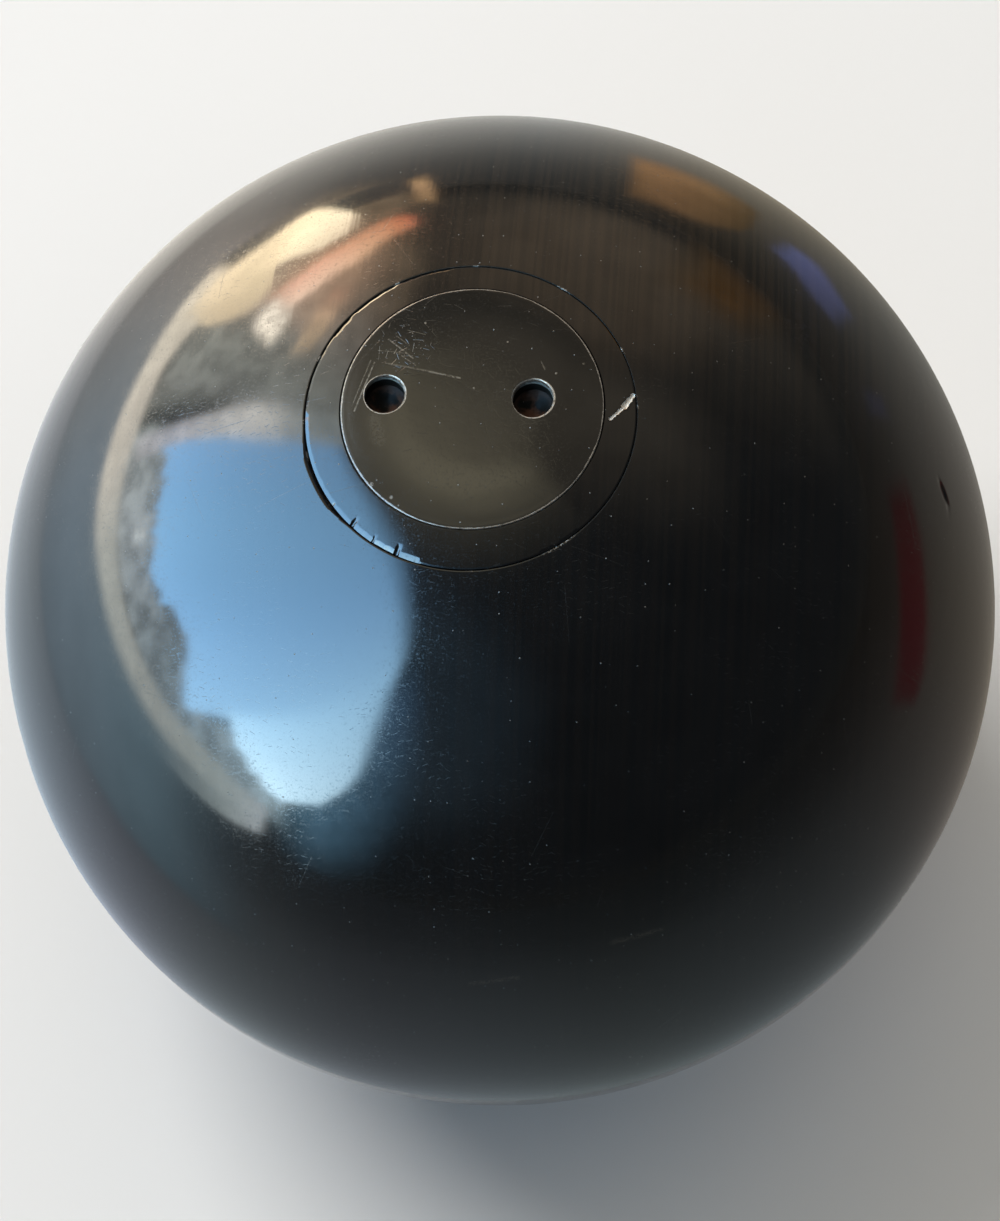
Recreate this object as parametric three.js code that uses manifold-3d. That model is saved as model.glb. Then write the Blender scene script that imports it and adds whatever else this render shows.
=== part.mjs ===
// A shot put: an iron ball with a lead core, loaded through a port that a flush screw plug closes.
// Millimetres, +Z up. The origin is the ball's centre, and the loading port opens at the top.
// Each piece is turned about the port's axis, so its section is drawn once and revolved.

import * as THREE from 'three';
import { mergeVertices, toCreasedNormals } from 'three/addons/utils/BufferGeometryUtils.js';
import Module from 'manifold-3d';

const wasm = await Module();
wasm.setup();

// Driving dimensions of the ball
const ballRadius = 60;
const wallThickness = 25; // iron between the outside and the lead

// Driving dimensions of the plug, whose axis lies a little off the ball's
const plugAxisOffset = new THREE.Vector2(0.19, 0.46);
const plugThreadRadius = 10.25; // mean radius of an M22 thread
const threadPitch = 2;
const threadTurns = 5;
const threadReliefLength = 2.4; // plain neck between the thread and the head
const threadReliefDepth = 0.9;
const plugTipChamfer = 1;
const plugSeatWidth = 3.3; // how far the head stands out past the thread
const plugHeadThickness = 4;
const plugLandRadius = 8; // flat middle of the face, inside its rounded rim
const plugLandRise = 0.5;

// Driving dimensions of the two blind holes that a pin spanner turns the plug by
const spannerHoleRadius = 2.1;
const spannerHoleInset = 5.87; // from the plug's edge inwards, along the line of the two holes
const spannerHoleFloor = 0.8; // metal left under the drill's point
const spannerHoleCountersink = 0.35;
const spannerHoleShift = new THREE.Vector2(-1.43, 0.99); // the pair was drilled off centre
const drillPointAngle = THREE.MathUtils.degToRad(118);

// Driving dimensions of the collar, a stepped bush that lines the port
const collarRimWidth = 3.16;
const collarFlangeThickness = 3;
const collarShankWall = 4;
const collarTailLength = 1.4; // from the plug's tip down to the collar's lower end
const collarTailChamfer = 1;
const boreMouthChamfer = 0.8; // leads the thread in at both ends of the bore

// Driving dimensions of what lies under the plug
const washerThickness = 1;
const washerThreadClearance = 0.9;
const packingPadThickness = 2;
const trimDiscRadius = 9.2;
const trimDiscThickness = 1.2;
const trimDiscCount = 3;
const softEdge = 0.3; // rounding of the washer, the pad and the discs, cut as a chamfer

// Fits and facets
const fitGap = 0.3; // between each piece and its neighbour
const edgeBreak = 0.25; // chamfer on a turned edge
const cutterOverrun = 5; // how far a cutting tool reaches past the metal
const ballSegments = 60;
const discSegments = 40;
const holeSegments = 20;
const ballArcStep = THREE.MathUtils.degToRad(6);
const fineArcStep = THREE.MathUtils.degToRad(2);
const cavityArcStep = THREE.MathUtils.degToRad(9);
const creaseAngle = THREE.MathUtils.degToRad(30);

// Radii that follow from the fits
const cavityRadius = ballRadius - wallThickness;
const plugHeadRadius = plugThreadRadius + plugSeatWidth;
const headPocketRadius = plugHeadRadius + fitGap;
const threadBoreRadius = plugThreadRadius + fitGap;
const collarRadius = headPocketRadius + collarRimWidth;
const collarShankRadius = threadBoreRadius + collarShankWall;
const neckRadius = trimDiscRadius + fitGap;

// Heights above the ball's centre, from the plug's edge down to the lead
const plugEdgeZ = ballSurfaceZ(plugHeadRadius);
const plugSeatZ = plugEdgeZ - plugHeadThickness;
const plugShankLength = threadReliefLength + threadTurns * threadPitch;
const plugTipZ = plugSeatZ - plugShankLength;
const washerZ = plugSeatZ - fitGap - washerThickness;
const collarSeatZ = washerZ - fitGap;
const collarBottomZ = plugTipZ - collarTailLength;
const packingPadZ = plugTipZ - fitGap - packingPadThickness;
const trimDiscSpacing = trimDiscThickness + fitGap;
const leadTopZ = packingPadZ - trimDiscCount * trimDiscSpacing - fitGap;

// Height of the ball's surface above its centre, at a distance from the vertical axis
function ballSurfaceZ(radius) {
  return Math.sqrt(ballRadius ** 2 - radius ** 2);
}

// Elevation of the point of a sphere about the origin that lies at a distance from the vertical axis
function elevationAt(sphereRadius, radius) {
  return Math.acos(radius / sphereRadius);
}

function point(radius, height) {
  return new THREE.Vector2(radius, height);
}

// Points of a section along an arc, both ends included
function arc(centre, radius, startAngle, endAngle, largestStep) {
  const count = Math.ceil(Math.abs(endAngle - startAngle) / largestStep - 1e-9);
  return Array.from({ length: count + 1 }, (_, index) => {
    const angle = THREE.MathUtils.lerp(startAngle, endAngle, index / count);
    return point(centre.x + radius * Math.cos(angle), centre.y + radius * Math.sin(angle));
  });
}

// Leaves one vertex at each place and drops the triangles that close up to nothing on the axis
function weld(geometry) {
  geometry.deleteAttribute('normal');
  geometry.deleteAttribute('uv');
  const welded = mergeVertices(geometry);
  const corners = welded.index.array;
  const kept = [];
  for (let first = 0; first < corners.length; first += 3) {
    const [a, b, c] = corners.slice(first, first + 3);
    if (a !== b && b !== c && c !== a) {
      kept.push(a, b, c);
    }
  }
  welded.setIndex(kept);
  return welded;
}

// Revolves a section about the vertical axis. It runs from the bottom outwards and up.
function turned(section, segments = ballSegments) {
  const geometry = new THREE.LatheGeometry(section, segments);
  geometry.rotateX(Math.PI / 2);
  return weld(geometry);
}

function toSolid(geometry) {
  const vertProperties = Float32Array.from(geometry.attributes.position.array);
  const triVerts = Uint32Array.from(geometry.index.array);
  return new wasm.Manifold(new wasm.Mesh({ numProp: 3, vertProperties, triVerts }));
}

function toGeometry(solid) {
  const { vertProperties, triVerts } = solid.getMesh();
  const geometry = new THREE.BufferGeometry();
  geometry.setAttribute('position', new THREE.BufferAttribute(vertProperties, 3));
  geometry.setIndex(new THREE.BufferAttribute(triVerts, 1));
  return geometry;
}

function cut(blank, ...cutters) {
  const solids = cutters.map(toSolid);
  return toGeometry(solids.reduce((solid, cutter) => solid.subtract(cutter), toSolid(blank)));
}

function finish(color, roughness, metalness) {
  return new THREE.MeshStandardMaterial({ color, roughness, metalness });
}

function piece(name, geometry, material) {
  const mesh = new THREE.Mesh(toCreasedNormals(geometry, creaseAngle), material);
  mesh.name = name;
  return mesh;
}

// A flat round piece from z = 0 up, with a small chamfer on both edges
function disc(radius, thickness) {
  const section = [
    point(0, 0),
    point(radius - softEdge, 0),
    point(radius, softEdge),
    point(radius, thickness - softEdge),
    point(radius - softEdge, thickness),
    point(0, thickness),
  ];
  return turned(section, discSegments);
}

// The ball: one casting with the lead's cavity, a loading neck and the stepped pocket for the collar
function makeShell() {
  const centre = point(0, 0);
  const pocketRadius = collarRadius + fitGap;
  const mouthRadius = pocketRadius + edgeBreak;
  const ledgeZ = collarSeatZ - collarFlangeThickness - fitGap;
  const shankBoreRadius = collarShankRadius + fitGap;
  const pocketFloorZ = collarBottomZ - fitGap;
  const mouthElevation = elevationAt(ballRadius, mouthRadius);
  const neckElevation = elevationAt(cavityRadius, neckRadius);
  const section = [
    ...arc(centre, ballRadius, -Math.PI / 2, 0, ballArcStep),
    ...arc(centre, ballRadius, 0, mouthElevation, ballArcStep).slice(1),
    point(pocketRadius, ballSurfaceZ(mouthRadius) - edgeBreak),
    point(pocketRadius, ledgeZ),
    point(shankBoreRadius, ledgeZ),
    point(shankBoreRadius, pocketFloorZ),
    point(neckRadius, pocketFloorZ),
    ...arc(centre, cavityRadius, neckElevation, 0, cavityArcStep),
    ...arc(centre, cavityRadius, 0, -Math.PI / 2, cavityArcStep).slice(1),
  ];
  return turned(section);
}

// The lead: it fills the cavity and stands a little way up the neck, where its top was dressed flat
function makeLeadCore() {
  const centre = point(0, 0);
  const coreRadius = cavityRadius - fitGap;
  const stubRadius = neckRadius - fitGap;
  const shoulderZ = Math.min(leadTopZ, Math.sqrt(coreRadius ** 2 - stubRadius ** 2));
  const shoulderElevation = Math.asin(shoulderZ / coreRadius);
  const section = [
    ...arc(centre, coreRadius, -Math.PI / 2, 0, cavityArcStep),
    ...arc(centre, coreRadius, 0, shoulderElevation, cavityArcStep).slice(1),
    point(stubRadius, leadTopZ),
    point(0, leadTopZ),
  ];
  return turned(section);
}

// The space inside the collar, about the plug's axis, with z = 0 at the washer's seat
function makePortCutter() {
  const bottomZ = collarBottomZ - collarSeatZ;
  const edgeZ = ballSurfaceZ(headPocketRadius) - collarSeatZ;
  const section = [
    point(0, bottomZ - cutterOverrun),
    point(threadBoreRadius + boreMouthChamfer, bottomZ - cutterOverrun),
    point(threadBoreRadius + boreMouthChamfer, bottomZ),
    point(threadBoreRadius, bottomZ + boreMouthChamfer),
    point(threadBoreRadius, -boreMouthChamfer),
    point(threadBoreRadius + boreMouthChamfer, 0),
    point(headPocketRadius, 0),
    point(headPocketRadius, edgeZ - edgeBreak),
    point(headPocketRadius + cutterOverrun, edgeZ - edgeBreak + cutterOverrun),
    point(0, edgeZ - edgeBreak + cutterOverrun),
  ];
  const cutter = turned(section);
  return cutter.translate(plugAxisOffset.x, plugAxisOffset.y, 0);
}

// The collar: a flanged bush whose face carries on the ball's curve, with z = 0 at the washer's seat
function makeCollar() {
  const faceRadius = collarRadius - edgeBreak;
  const faceEdgeZ = ballSurfaceZ(faceRadius) - collarSeatZ;
  const bottomZ = collarBottomZ - collarSeatZ;
  const faceElevation = elevationAt(ballRadius, faceRadius);
  const blankSection = [
    point(0, bottomZ),
    point(collarShankRadius - collarTailChamfer, bottomZ),
    point(collarShankRadius, bottomZ + collarTailChamfer),
    point(collarShankRadius, -collarFlangeThickness),
    point(collarRadius - edgeBreak, -collarFlangeThickness),
    point(collarRadius, edgeBreak - collarFlangeThickness),
    point(collarRadius, faceEdgeZ - edgeBreak),
    ...arc(point(0, -collarSeatZ), ballRadius, faceElevation, Math.PI / 2, fineArcStep),
  ];
  return cut(turned(blankSection), makePortCutter());
}

// A drilled spanner hole, about its own axis, with z = 0 at the plug's edge
function makeSpannerHole() {
  const tipZ = spannerHoleFloor - plugHeadThickness;
  const shoulderZ = tipZ + spannerHoleRadius / Math.tan(drillPointAngle / 2);
  const countersinkZ = plugLandRise - spannerHoleCountersink;
  const section = [
    point(0, tipZ),
    point(spannerHoleRadius, shoulderZ),
    point(spannerHoleRadius, countersinkZ),
    point(spannerHoleRadius + cutterOverrun, countersinkZ + cutterOverrun),
    point(0, countersinkZ + cutterOverrun),
  ];
  return turned(section, holeSegments);
}

// The plug: a headed screw whose face is flat in the middle and rounds off to meet the collar,
// with z = 0 at the head's edge
function makePlug() {
  const tipZ = plugTipZ - plugEdgeZ;
  const seatZ = -plugHeadThickness;
  const reliefRadius = plugThreadRadius - threadReliefDepth;
  const faceRadius = plugHeadRadius - edgeBreak;
  const rimWidth = faceRadius - plugLandRadius;
  const rimArcRadius = (rimWidth ** 2 + plugLandRise ** 2) / (2 * plugLandRise);
  const rimArcCentre = point(plugLandRadius, plugLandRise - rimArcRadius);
  const rimArcStart = Math.acos(rimWidth / rimArcRadius);
  const blankSection = [
    point(0, tipZ),
    point(plugThreadRadius - plugTipChamfer, tipZ),
    point(plugThreadRadius, tipZ + plugTipChamfer),
    point(plugThreadRadius, seatZ - threadReliefLength),
    point(reliefRadius, seatZ - threadReliefLength + threadReliefDepth),
    point(reliefRadius, seatZ),
    point(plugHeadRadius - edgeBreak, seatZ),
    point(plugHeadRadius, seatZ + edgeBreak),
    point(plugHeadRadius, -edgeBreak),
    ...arc(rimArcCentre, rimArcRadius, rimArcStart, Math.PI / 2, fineArcStep),
    point(0, plugLandRise),
  ];
  const halfSpacing = plugHeadRadius - spannerHoleInset;
  const holes = [-halfSpacing, halfSpacing].map((alongLine) => {
    const hole = makeSpannerHole();
    return hole.translate(spannerHoleShift.x + alongLine, spannerHoleShift.y, 0);
  });
  return cut(turned(blankSection), ...holes);
}

// The seal: a soft ring clamped between the plug's head and the collar
function makeSealWasher() {
  const outerRadius = headPocketRadius - 2 * fitGap;
  const boreRadius = plugThreadRadius + washerThreadClearance;
  const section = [
    point(boreRadius, softEdge),
    point(boreRadius + softEdge, 0),
    point(outerRadius - softEdge, 0),
    point(outerRadius, softEdge),
    point(outerRadius, washerThickness - softEdge),
    point(outerRadius - softEdge, washerThickness),
    point(boreRadius + softEdge, washerThickness),
    point(boreRadius, washerThickness - softEdge),
    point(boreRadius, softEdge),
  ];
  return turned(section, discSegments);
}

const shotPut = new THREE.Group();

const shell = piece('shell', makeShell(), finish('#0d0e10', 0.15, 0.3));
const leadCore = piece('lead_core', makeLeadCore(), finish('#6c7076', 0.6, 0.9));
shotPut.add(shell, leadCore);

const collar = piece('collar', makeCollar(), finish('#101113', 0.18, 0.3));
collar.position.z = collarSeatZ;
shotPut.add(collar);

const plugAxis = new THREE.Group();
plugAxis.position.set(plugAxisOffset.x, plugAxisOffset.y, 0);
const plug = piece('plug', makePlug(), finish('#121214', 0.2, 0.3));
plug.position.z = plugEdgeZ;
const sealWasher = piece('seal_washer', makeSealWasher(), finish('#7a2f22', 0.7, 0));
sealWasher.position.z = washerZ;
plugAxis.add(plug, sealWasher);
shotPut.add(plugAxis);

const weightStack = new THREE.Group();
weightStack.position.z = packingPadZ;
const packingPad = piece(
  'packing_pad',
  disc(trimDiscRadius, packingPadThickness),
  finish('#7d7363', 0.95, 0),
);
weightStack.add(packingPad);
for (let number = 1; number <= trimDiscCount; number += 1) {
  const trimDisc = piece(
    `trim_disc_${number}`,
    disc(trimDiscRadius, trimDiscThickness),
    finish('#777b81', 0.55, 0.9),
  );
  trimDisc.position.z = -number * trimDiscSpacing;
  weightStack.add(trimDisc);
}
shotPut.add(weightStack);

export default shotPut;
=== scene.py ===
# The finished surfaces of a shot put, built round its fixed frame: worn glossy black paint, real threads,
# a fibre seal, felt and lead. Shapes are worked out in millimetres about the ball's centre, with +Z up
# through the loading port, and angles are counted from +X towards +Y.

import math

import bmesh
import bpy
import numpy as np
from mathutils import Matrix, Vector


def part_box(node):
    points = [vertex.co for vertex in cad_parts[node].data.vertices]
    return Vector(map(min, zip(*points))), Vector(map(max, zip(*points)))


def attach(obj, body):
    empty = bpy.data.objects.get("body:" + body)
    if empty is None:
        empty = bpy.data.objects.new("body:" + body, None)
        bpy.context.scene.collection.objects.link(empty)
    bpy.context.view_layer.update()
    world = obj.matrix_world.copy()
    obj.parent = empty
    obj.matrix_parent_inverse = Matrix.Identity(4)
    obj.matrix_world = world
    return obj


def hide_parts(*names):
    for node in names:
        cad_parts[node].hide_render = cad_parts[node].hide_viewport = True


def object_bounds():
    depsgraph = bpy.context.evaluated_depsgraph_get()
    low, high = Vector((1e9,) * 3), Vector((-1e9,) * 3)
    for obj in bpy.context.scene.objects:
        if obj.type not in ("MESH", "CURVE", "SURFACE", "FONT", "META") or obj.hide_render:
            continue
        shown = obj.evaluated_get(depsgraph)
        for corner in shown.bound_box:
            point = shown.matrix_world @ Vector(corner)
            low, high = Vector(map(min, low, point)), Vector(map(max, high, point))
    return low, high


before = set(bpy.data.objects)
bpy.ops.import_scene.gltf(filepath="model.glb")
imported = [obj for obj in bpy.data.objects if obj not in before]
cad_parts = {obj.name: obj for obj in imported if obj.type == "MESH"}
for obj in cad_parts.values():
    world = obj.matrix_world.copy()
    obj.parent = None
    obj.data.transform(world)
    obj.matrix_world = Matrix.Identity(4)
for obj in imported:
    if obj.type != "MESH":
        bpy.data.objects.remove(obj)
cad_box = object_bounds()

MM = 0.001
TURN = 2 * math.pi


# Sizes


def box_mm(node):
    low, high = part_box(node)
    return np.array(low) / MM, np.array(high) / MM


SKIN_LESS = 0.005  # keeps the finer surfaces inside the frame's box
BALL_R = box_mm("shell")[1][0] - SKIN_LESS
COLLAR_LOW, COLLAR_HIGH = box_mm("collar")
PLUG_LOW, PLUG_HIGH = box_mm("plug")
SEAL_LOW, SEAL_HIGH = box_mm("seal_washer")
PAD_LOW, PAD_HIGH = box_mm("packing_pad")
CORE_HIGH = box_mm("lead_core")[1]
PLUG_AXIS = (PLUG_LOW + PLUG_HIGH)[:2] / 2

# The port's pieces, closer fitted here than the frame's plain solids
FIT = 0.3
MOUTH_R = COLLAR_HIGH[0] + 0.20
COLLAR_R = COLLAR_HIGH[0] + 0.11
PLUG_HEAD_R = (PLUG_HIGH - PLUG_LOW)[0] / 2 + 0.04
HEAD_POCKET_R = PLUG_HEAD_R + 0.12
COLLAR_SEAT_Z = SEAL_LOW[2] - FIT
FLANGE_Z = COLLAR_SEAT_Z - 3.0
SHANK_R = 14.55
SHANK_BORE_R = SHANK_R + FIT
NECK_R = PAD_HIGH[0] + FIT
CAVITY_R = CORE_HIGH[0] + FIT
SEAL_BORE_R = 11.15

# The plug's face
LAND_R = 6.0
LAND_Z = PLUG_HIGH[2]
HEAD_SIDE_Z = 58.45
HEAD_UNDER_Z = 54.45
HEAD_EDGE = 0.10
HOLE_R = 2.1
HOLE_CENTRES = ((-9.11, 0.99), (6.25, 0.99))
HOLE_FLOOR_Z = 55.25
HOLE_COUNTERSINK = 0.13
DRILL_POINT_ANGLE = math.radians(118)

# The M22 x 2 thread, the plug's and the collar's: half widths along the axis, and the radii at them
PITCH = 2.0
MALE = ((0.151, 0.855), (10.92, 9.70))
FEMALE = ((0.110, 0.7335), (11.06, 9.98))
RELIEF_R = 9.35
RELIEF_Z = 53.0
TIP_R = 9.25
BORE_MOUTH_R = 11.35


# Meshes


def spaced(start, end, step):
    return np.linspace(start, end, max(2, math.ceil(abs(end - start) / step) + 1))


def column_angles(coarse, *finer):
    """Angles in radians round a turn, coarse degrees apart, and finer in (middle, half width, step) zones."""
    angles, at = [], -180.0
    while at < 180.0 - 1e-6:
        angles.append(at)
        at += min([coarse, *(step for middle, half, step in finer if abs(at - middle) <= half)])
    return np.radians(angles)


def ring(angles, radius, height, centre=(0.0, 0.0)):
    """One row of a turned surface. The radius and the height are numbers, or one number for each angle."""
    radius, height = np.broadcast_to(radius, angles.shape), np.broadcast_to(height, angles.shape)
    x, y = centre[0] + radius * np.cos(angles), centre[1] + radius * np.sin(angles)
    return np.stack([x, y, height], axis=1)


def turned(angles, pairs, centre=(0.0, 0.0)):
    """Rows of a turned surface, from pairs of radius and height."""
    return [ring(angles, radius, height, centre) for radius, height in pairs]


def on_sphere(radius, elevations):
    """Pairs of radius and height on a sphere about the ball's centre."""
    return [(radius * math.cos(e), radius * math.sin(e)) for e in elevations]


def fillet(start, corner, end, count):
    """Pairs of radius and height round a corner, both ends included."""
    start, corner, end = (np.array(p, float) for p in (start, corner, end))
    return [(1 - t) ** 2 * start + 2 * t * (1 - t) * corner + t**2 * end for t in np.linspace(0, 1, count)]


def placed(name, data):
    """An object in the scene, made from a mesh, a lamp or a camera."""
    made = bpy.data.objects.new(name, data)
    bpy.context.scene.collection.objects.link(made)
    return made


def smooth(mesh, sharp):
    """Smooth shading, left crisp where faces meet at more than a sharp angle, in degrees."""
    mesh.shade_smooth()
    mesh.set_sharp_from_angle(angle=math.radians(sharp))


def grid_object(name, rows, wrap=False, seam=None, sharp=40):
    """A closed mesh from rows of points that run from the bottom outwards and up. With wrap the last row
    meets the first. Seam gives, for each row, the row that it meets where the columns close."""
    points = np.stack(rows)
    row_count, column_count = points.shape[:2]
    partner = np.arange(row_count) if seam is None else seam
    row, column = np.divmod(np.arange((row_count if wrap else row_count - 1) * column_count), column_count)
    above, right = (row + 1) % row_count, (column + 1) % column_count
    closing = right == 0
    corners = (
        (row, column), (np.where(closing, partner[row], row), right),
        (np.where(closing, partner[above], above), right), (above, column))
    faces = np.stack([corner_row * column_count + col for corner_row, col in corners], axis=1)
    mesh = bpy.data.meshes.new(name)
    mesh.from_pydata((points.reshape(-1, 3) * MM).tolist(), [], faces.tolist())
    bm = bmesh.new()
    bm.from_mesh(mesh)
    bmesh.ops.remove_doubles(bm, verts=bm.verts, dist=1e-7)
    bm.to_mesh(mesh)
    bm.free()
    smooth(mesh, sharp)
    return placed(name, mesh)


def positions(made):
    """The mesh's vertices in millimetres."""
    flat = np.zeros(len(made.data.vertices) * 3)
    made.data.vertices.foreach_get("co", flat)
    return flat.reshape(-1, 3) / MM


def move_points(made, points):
    made.data.vertices.foreach_set("co", (points * MM).ravel())
    made.data.update()


def add_values(made, name, values, kind="FLOAT", field="value"):
    attribute = made.data.attributes.new(name, kind, "POINT")
    attribute.data.foreach_set(field, np.asarray(values, np.float32).ravel())


def add_skin(made):
    """Flat coordinates in millimetres over the ball's surface, counted along it from the nearer pole."""
    points = positions(made)
    across = np.hypot(points[:, 0], points[:, 1])
    stretch = BALL_R * np.arctan2(across, np.abs(points[:, 2])) / np.maximum(across, 1e-6)
    add_values(made, "skin", points * stretch[:, None] * (1.0, 1.0, 0.0), "FLOAT_VECTOR", "vector")


def wander(along, period, seed):
    """Smooth noise from -1 to 1 along a line, the same on every run."""
    knots = np.random.default_rng(seed).uniform(-1, 1, 512)
    at = along / period
    whole = np.floor(at).astype(int)
    t = at - whole
    t = t * t * (3 - 2 * t)
    return knots[whole % len(knots)] * (1 - t) + knots[(whole + 1) % len(knots)] * t


def window(value, low, high, soft):
    """1 between low and high, falling to 0 over a soft width outside."""
    rise = np.clip((value - low) / soft + 1, 0, 1)
    fall = np.clip((high - value) / soft + 1, 0, 1)
    both = rise * fall
    return both * both * (3 - 2 * both)


def from_segment(points, start, end):
    """How far points lie from a straight line in the plane, and how far along it, from 0 to 1."""
    start, end = np.array(start), np.array(end)
    run = end - start
    along = np.clip((points - start) @ run / (run @ run), 0, 1)
    return np.hypot(*(points - start - along[:, None] * run).T), along


def thread_rows(angles, low, high, form, limit):
    """Rows up a thread whose breaks follow the helix that climbs one pitch in a turn, and how many rows make
    one pitch. Limit takes heights and radii, and gives the radii with the thread's ends chamfered."""
    widths, radii = form
    narrow, broad = widths
    middle = (narrow + broad) / 2
    breaks = (-PITCH / 2, -broad, -middle, -narrow, narrow, middle, broad)
    climb = (angles + math.pi) / TURN * PITCH
    pairs = []
    for turn in range(math.floor(low / PITCH) - 2, math.ceil(high / PITCH) + 2):
        for offset in breaks:
            height = np.clip(turn * PITCH + offset + climb, low, high)
            off = np.abs((height - climb + PITCH / 2) % PITCH - PITCH / 2)
            pairs.append((limit(height, np.interp(off, widths, radii)), height))
    return turned(angles, pairs, PLUG_AXIS), len(breaks)


# Materials


class Graph:
    """The nodes of one material or world. A value is a number, a tuple or another node's output."""

    def __init__(self, owner, output="ShaderNodeOutputMaterial"):
        owner.use_nodes = True
        self.owner, self.tree = owner, owner.node_tree
        self.tree.nodes.clear()
        self.output = self.tree.nodes.new(output)

    def put(self, socket, value):
        if isinstance(value, bpy.types.NodeSocket):
            self.tree.links.new(value, socket)
        else:
            socket.default_value = value

    def node(self, kind, inputs=None, **settings):
        made = self.tree.nodes.new(kind)
        for name, value in settings.items():
            setattr(made, name, value)
        for name, value in (inputs or {}).items():
            self.put(made.inputs[name], value)
        return made

    def finish(self, shader):
        self.put(self.output.inputs["Surface"], shader.outputs[0])
        return self.owner

    def math(self, operation, *values, clamp=False):
        made = self.node("ShaderNodeMath", dict(enumerate(values)), operation=operation, use_clamp=clamp)
        return made.outputs[0]

    def chain(self, operation, first, *others):
        for other in others:
            first = self.math(operation, first, other)
        return first

    def times(self, *values):
        return self.chain("MULTIPLY", *values)

    def total(self, *values):
        return self.chain("ADD", *values)

    def most(self, *values):
        return self.chain("MAXIMUM", *values)

    def step(self, value, low, high, start=0.0, end=1.0):
        """Start below low, end above high, smooth between them."""
        inputs = {"Value": value, "From Min": low, "From Max": high, "To Min": start, "To Max": end}
        return self.node("ShaderNodeMapRange", inputs, interpolation_type="SMOOTHSTEP").outputs[0]

    def fall(self, value, low, high):
        """1 below low, 0 above high, smooth between them."""
        return self.step(value, low, high, 1.0, 0.0)

    def vector(self, operation, *values, scale=None):
        inputs = dict(enumerate(values))
        if scale is not None:
            inputs["Scale"] = scale
        made = self.node("ShaderNodeVectorMath", inputs, operation=operation)
        return made.outputs["Value" if operation in ("LENGTH", "DOT_PRODUCT") else "Vector"]

    def split(self, vector):
        return self.node("ShaderNodeSeparateXYZ", {0: vector}).outputs

    def flat(self, vector):
        return self.vector("MULTIPLY", vector, (1.0, 1.0, 0.0))

    def distance(self, where, centre):
        return self.vector("LENGTH", self.vector("SUBTRACT", where, Vector(centre).to_3d()))

    def line_distance(self, where, start, end):
        """How far a point lies from a straight line between two ends."""
        start, end = Vector(start).to_3d(), Vector(end).to_3d()
        run = end - start
        off = self.vector("SUBTRACT", where, start)
        along = self.math("DIVIDE", self.vector("DOT_PRODUCT", off, run), run.length_squared, clamp=True)
        return self.vector("LENGTH", self.vector("SUBTRACT", off, self.vector("SCALE", run, scale=along)))

    def mix(self, share, a, b):
        """Colour a with a share of colour b."""
        made = self.node("ShaderNodeMix", {0: share}, data_type="RGBA")
        for socket, value in ((made.inputs[6], a), (made.inputs[7], b)):
            self.put(socket, value if isinstance(value, bpy.types.NodeSocket) else (*value, 1.0))
        return made.outputs[2]

    def blend(self, share, a, b):
        """Number a with a share of number b."""
        return self.node("ShaderNodeMix", {0: share, 2: a, 3: b}, data_type="FLOAT").outputs[0]

    def noise(self, where, size, detail=2.0, roughness=0.5, kind="3D"):
        """Noise from 0 to 1 whose largest features are about size across."""
        inputs = {"W" if kind == "1D" else "Vector": where, "Scale": 1 / size}
        inputs.update({"Detail": detail, "Roughness": roughness})
        return self.node("ShaderNodeTexNoise", inputs, noise_dimensions=kind).outputs[0]

    def cells(self, where, size):
        """Random cells, and the three random numbers that each holds."""
        inputs = {"Vector": where, "Scale": 1 / size}
        cells = self.node("ShaderNodeTexVoronoi", inputs, voronoi_dimensions="2D").outputs
        return cells, self.node("ShaderNodeSeparateColor", {0: cells["Color"]}).outputs

    def place(self):
        """Where a point is on the resting object, in millimetres."""
        return self.vector("SCALE", self.node("ShaderNodeTexCoord").outputs["Object"], scale=1 / MM)

    def attribute(self, name, output="Fac"):
        return self.node("ShaderNodeAttribute", attribute_name=name).outputs[output]

    def bump(self, height_mm):
        return self.node("ShaderNodeBump", {"Height": height_mm, "Distance": MM, "Strength": 1.0}).outputs[0]

    def surface(self, color, roughness, normal, metallic=0.0, **constants):
        inputs = {"Base Color": color, "Roughness": roughness, "Normal": normal, "Metallic": metallic}
        inputs.update({name.replace("_", " "): value for name, value in constants.items()})
        return self.finish(self.node("ShaderNodeBsdfPrincipled", inputs))


def material_graph(name):
    return Graph(bpy.data.materials.new(name))


def hairlines(g, where, cell, length, width, kept, swing=math.pi):
    """Straight scratches within a swing of angles about level, at most one to a cell, as a mask."""
    cells, (red, green, blue) = g.cells(where, cell)
    angle = g.math("MULTIPLY_ADD", red, swing, -swing / 2)
    x, y, _ = g.split(g.vector("SUBTRACT", where, cells["Position"]))
    cos, sin = g.math("COSINE", angle), g.math("SINE", angle)
    along = g.math("ABSOLUTE", g.total(g.times(x, cos), g.times(y, sin)))
    across = g.math("ABSOLUTE", g.math("SUBTRACT", g.times(x, sin), g.times(y, cos)))
    reach = g.math("MULTIPLY_ADD", blue, length / 2, length / 8)
    inside = g.step(g.math("SUBTRACT", reach, along), 0.0, length / 5)
    return g.times(inside, g.fall(across, width * 0.2, width), g.math("LESS_THAN", green, kept))


def specks(g, where, cell, radius, kept):
    """Round specks of dust or small pits, at most one to a cell, as a mask."""
    cells, (red, green, _) = g.cells(where, cell)
    size = g.math("MULTIPLY_ADD", red, radius / cell, radius / cell / 3)
    dot = g.step(g.math("SUBTRACT", size, cells["Distance"]), 0.0, radius / cell / 2)
    return g.times(dot, g.math("LESS_THAN", green, kept))


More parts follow.
